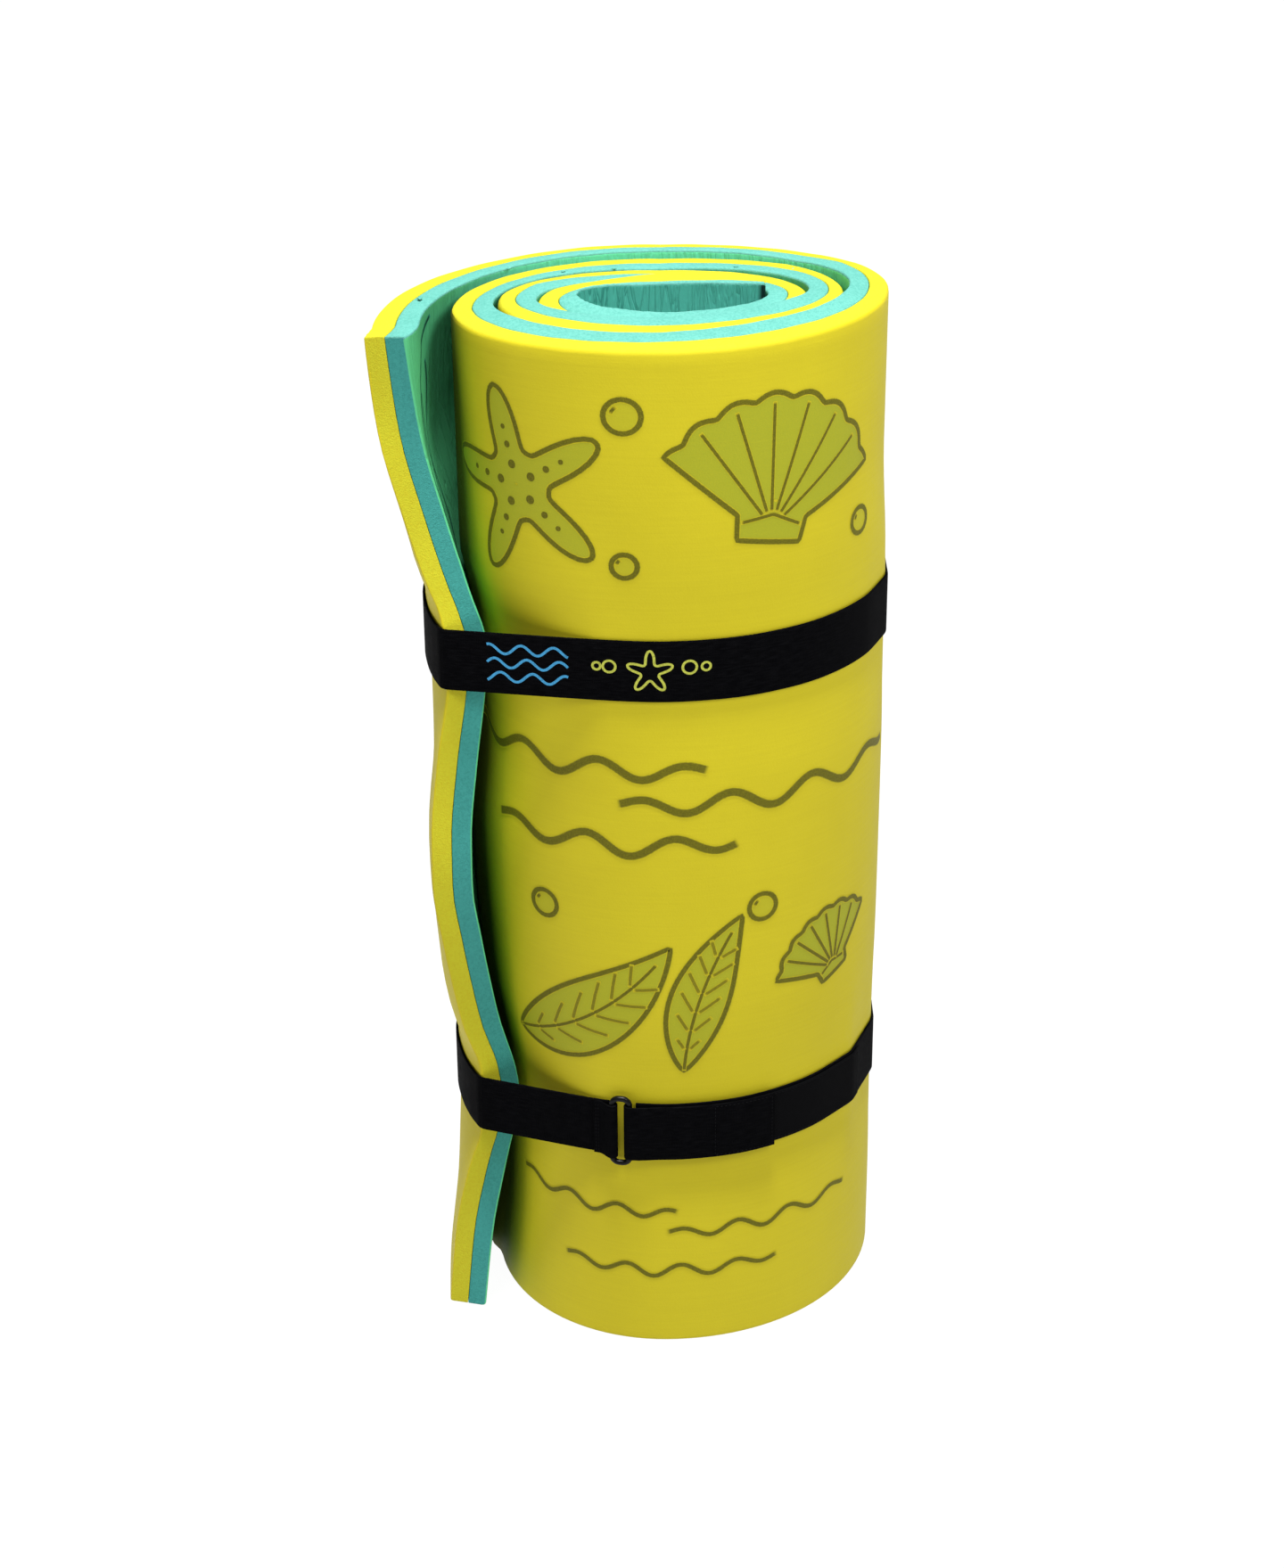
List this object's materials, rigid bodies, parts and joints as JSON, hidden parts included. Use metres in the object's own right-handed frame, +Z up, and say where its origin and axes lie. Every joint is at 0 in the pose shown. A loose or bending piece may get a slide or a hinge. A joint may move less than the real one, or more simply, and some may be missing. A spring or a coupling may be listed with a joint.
{
  "type": "rolled swim float mat",
  "caption": "Two-ply closed-cell foam float mat, rolled up and standing on end, held by elastic webbing straps with ring and hook-and-loop closures.",
  "frame": {"origin": "middle of the bounding box's footprint, on the surface that the roll stands on", "axes": "+Z up along the roll, -Y towards the side that shows the flap's cut end and the lower strap's ring, +X to the right seen from there"},
  "size_m": [0.4064, 0.2872, 0.921],
  "materials": {
    "yellow_foam": "matte closed-cell foam",
    "teal_foam": "matte closed-cell foam",
    "black_webbing": "woven elastic webbing",
    "black_plastic": "glossy moulded plastic",
    "hook_tape": "hook tape",
    "loop_tape": "loop pile"
  },
  "bodies": {
    "roll": {"mat_outer_ply": "yellow_foam", "mat_inner_ply": "teal_foam", "upper_strap_band": "black_webbing", "upper_loop_patch": "loop_tape", "lower_strap_band": "black_webbing", "lower_loop_patch": "loop_tape"},
    "upper_ring": {"upper_ring": "black_plastic"},
    "upper_tail": {"upper_tail": "black_webbing", "upper_hook_patch": "hook_tape"},
    "lower_ring": {"lower_ring": "black_plastic"},
    "lower_tail": {"lower_tail": "black_webbing", "lower_hook_patch": "hook_tape"}
  },
  "joints": [
    {"name": "upper_ring_lift", "type": "hinge", "parent": "roll", "child": "upper_ring", "pos_m": [0.05781, 0.13649, 0.6485], "axis": [0, 0, -1], "range_deg": [0, 28]},
    {"name": "upper_tail_peel", "type": "hinge", "parent": "upper_ring", "child": "upper_tail", "pos_m": [0.0429, 0.13815, 0.6485], "axis": [0, 0, -1], "range_deg": [0, 110]},
    {"name": "lower_ring_lift", "type": "hinge", "parent": "roll", "child": "lower_ring", "pos_m": [-0.0266, -0.13353, 0.219], "axis": [0, 0, -1], "range_deg": [0, 28]},
    {"name": "lower_tail_peel", "type": "hinge", "parent": "lower_ring", "child": "lower_tail", "pos_m": [-0.01181, -0.13604, 0.219], "axis": [0, 0, -1], "range_deg": [0, 110]}
  ]
}
